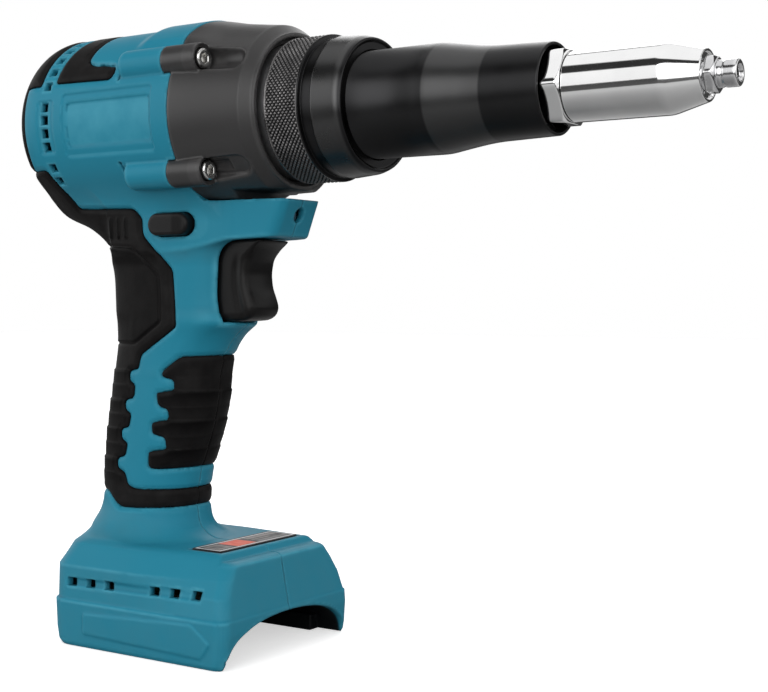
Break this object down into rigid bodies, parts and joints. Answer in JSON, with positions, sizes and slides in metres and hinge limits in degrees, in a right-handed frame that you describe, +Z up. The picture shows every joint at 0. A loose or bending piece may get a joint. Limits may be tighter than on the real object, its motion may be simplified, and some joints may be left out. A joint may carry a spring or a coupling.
{
  "type": "battery rivet tool",
  "caption": "Pistol-shaped battery tool for blind rivets: motor barrel, planetary gear case, draw screw and jaws in a plated nose, trigger, direction button and a slide-on battery foot.",
  "frame": {"origin": "middle of the overall length and width, on the floor under the battery foot", "axes": "+X along the pull axis towards the nosepiece, +Y to the tool's left, +Z up"},
  "size_m": [0.2768, 0.076, 0.2316],
  "materials": {
    "teal_plastic": "moulded, fine grain",
    "soft_rubber": "soft moulding, matt",
    "black_plastic": "moulded, satin",
    "black_steel": "blackened and polished",
    "plated_steel": "plated, bright",
    "plain_steel": "machined",
    "hard_steel": "hardened, dull",
    "bronze": "machined",
    "copper": "enamelled winding",
    "die_cast": "cast and machined",
    "clear_lens": "clear moulding",
    "label_film": "printed film, no words",
    "circuit_board": "lacquered board",
    "contact_metal": "sprung strip"
  },
  "bodies": {
    "body": {"housing_right": "teal_plastic", "housing_left": "teal_plastic", "back_grip_right": "soft_rubber", "back_grip_left": "soft_rubber", "front_grip_right": "soft_rubber", "front_grip_left": "soft_rubber", "top_bumper_right": "soft_rubber", "top_bumper_left": "soft_rubber", "gear_case": "black_plastic", "case_screws": "hard_steel", "shell_screws": "hard_steel", "lock_ring": "black_steel", "nose_sleeve": "black_steel", "nose_nut": "plated_steel", "nose_barrel": "plated_steel", "nosepiece": "plated_steel", "trigger_switch": "black_plastic", "light_lens": "clear_lens", "foot_label": "label_film", "stator_core": "hard_steel", "stator_coils": "copper", "rear_bearing": "plain_steel", "front_bearing": "plain_steel", "motor_plate": "die_cast", "ring_gear": "hard_steel", "nut_bearing": "plain_steel", "thrust_bearing": "plain_steel", "front_housing": "die_cast", "controller_tray": "black_plastic", "controller_board": "circuit_board", "terminal_block": "black_plastic", "battery_contacts": "contact_metal"},
    "rotor": {"motor_shaft": "plain_steel", "rotor_core": "hard_steel", "rotor_magnets": "plated_steel", "cooling_fan": "black_plastic"},
    "carrier_one": {"first_carrier": "hard_steel", "first_pins": "plain_steel"},
    "planet_one_a": {"first_planet_a": "plain_steel"},
    "planet_one_b": {"first_planet_b": "plain_steel"},
    "planet_one_c": {"first_planet_c": "plain_steel"},
    "carrier_two": {"second_carrier": "hard_steel", "second_pins": "plain_steel", "drive_nut": "bronze"},
    "planet_two_a": {"second_planet_a": "plain_steel"},
    "planet_two_b": {"second_planet_b": "plain_steel"},
    "planet_two_c": {"second_planet_c": "plain_steel"},
    "draw_head": {"drive_screw": "plain_steel", "guide_pin": "plain_steel", "draw_rod": "plain_steel", "jaw_case": "hard_steel", "jaws": "hard_steel", "jaw_pusher": "plain_steel", "jaw_spring": "plain_steel"},
    "trigger": {"trigger": "black_plastic"},
    "direction_button": {"direction_button": "black_plastic"}
  },
  "joints": [
    {"name": "draw_slide", "type": "slide", "parent": "body", "child": "draw_head", "axis": [-1, 0, 0], "range_m": [0, 0.02]},
    {"name": "rotor_spin", "type": "hinge", "parent": "body", "child": "rotor", "pos_m": [-0.09245, 0, 0.195], "axis": [1, 0, 0], "range_deg": [0, 45000]},
    {"name": "first_carrier_spin", "type": "hinge", "parent": "body", "child": "carrier_one", "pos_m": [-0.05095, 0, 0.195], "axis": [1, 0, 0], "range_deg": [0, 9000]},
    {"name": "second_carrier_spin", "type": "hinge", "parent": "body", "child": "carrier_two", "pos_m": [-0.03945, 0, 0.195], "axis": [1, 0, 0], "range_deg": [0, 1800]},
    {"name": "first_planet_a_spin", "type": "hinge", "parent": "carrier_one", "child": "planet_one_a", "pos_m": [-0.05685, 0.0135, 0.195], "axis": [1, 0, 0], "range_deg": [-24000, 0]},
    {"name": "first_planet_b_spin", "type": "hinge", "parent": "carrier_one", "child": "planet_one_b", "pos_m": [-0.05685, -0.00675, 0.20669], "axis": [1, 0, 0], "range_deg": [-24000, 0]},
    {"name": "first_planet_c_spin", "type": "hinge", "parent": "carrier_one", "child": "planet_one_c", "pos_m": [-0.05685, -0.00675, 0.18331], "axis": [1, 0, 0], "range_deg": [-24000, 0]},
    {"name": "second_planet_a_spin", "type": "hinge", "parent": "carrier_two", "child": "planet_two_a", "pos_m": [-0.04505, 0.0135, 0.195], "axis": [1, 0, 0], "range_deg": [-4800, 0]},
    {"name": "second_planet_b_spin", "type": "hinge", "parent": "carrier_two", "child": "planet_two_b", "pos_m": [-0.04505, -0.00675, 0.20669], "axis": [1, 0, 0], "range_deg": [-4800, 0]},
    {"name": "second_planet_c_spin", "type": "hinge", "parent": "carrier_two", "child": "planet_two_c", "pos_m": [-0.04505, -0.00675, 0.18331], "axis": [1, 0, 0], "range_deg": [-4800, 0]},
    {"name": "trigger_pull", "type": "slide", "parent": "body", "child": "trigger", "axis": [-1, 0, 0], "range_m": [0, 0.007], "stiffness_N_per_m": 500, "springref_m": -0.004},
    {"name": "direction_push", "type": "slide", "parent": "body", "child": "direction_button", "axis": [0, 1, 0], "range_m": [0, 0.005]}
  ],
  "couplings": [
    {"joint": "rotor_spin", "follows": "draw_slide", "rad_per_m": 39270},
    {"joint": "first_carrier_spin", "follows": "draw_slide", "rad_per_m": 7854},
    {"joint": "second_carrier_spin", "follows": "draw_slide", "rad_per_m": 1570.8},
    {"joint": "first_planet_a_spin", "follows": "draw_slide", "rad_per_m": -20944},
    {"joint": "first_planet_b_spin", "follows": "draw_slide", "rad_per_m": -20944},
    {"joint": "first_planet_c_spin", "follows": "draw_slide", "rad_per_m": -20944},
    {"joint": "second_planet_a_spin", "follows": "draw_slide", "rad_per_m": -4188.8},
    {"joint": "second_planet_b_spin", "follows": "draw_slide", "rad_per_m": -4188.8},
    {"joint": "second_planet_c_spin", "follows": "draw_slide", "rad_per_m": -4188.8}
  ]
}
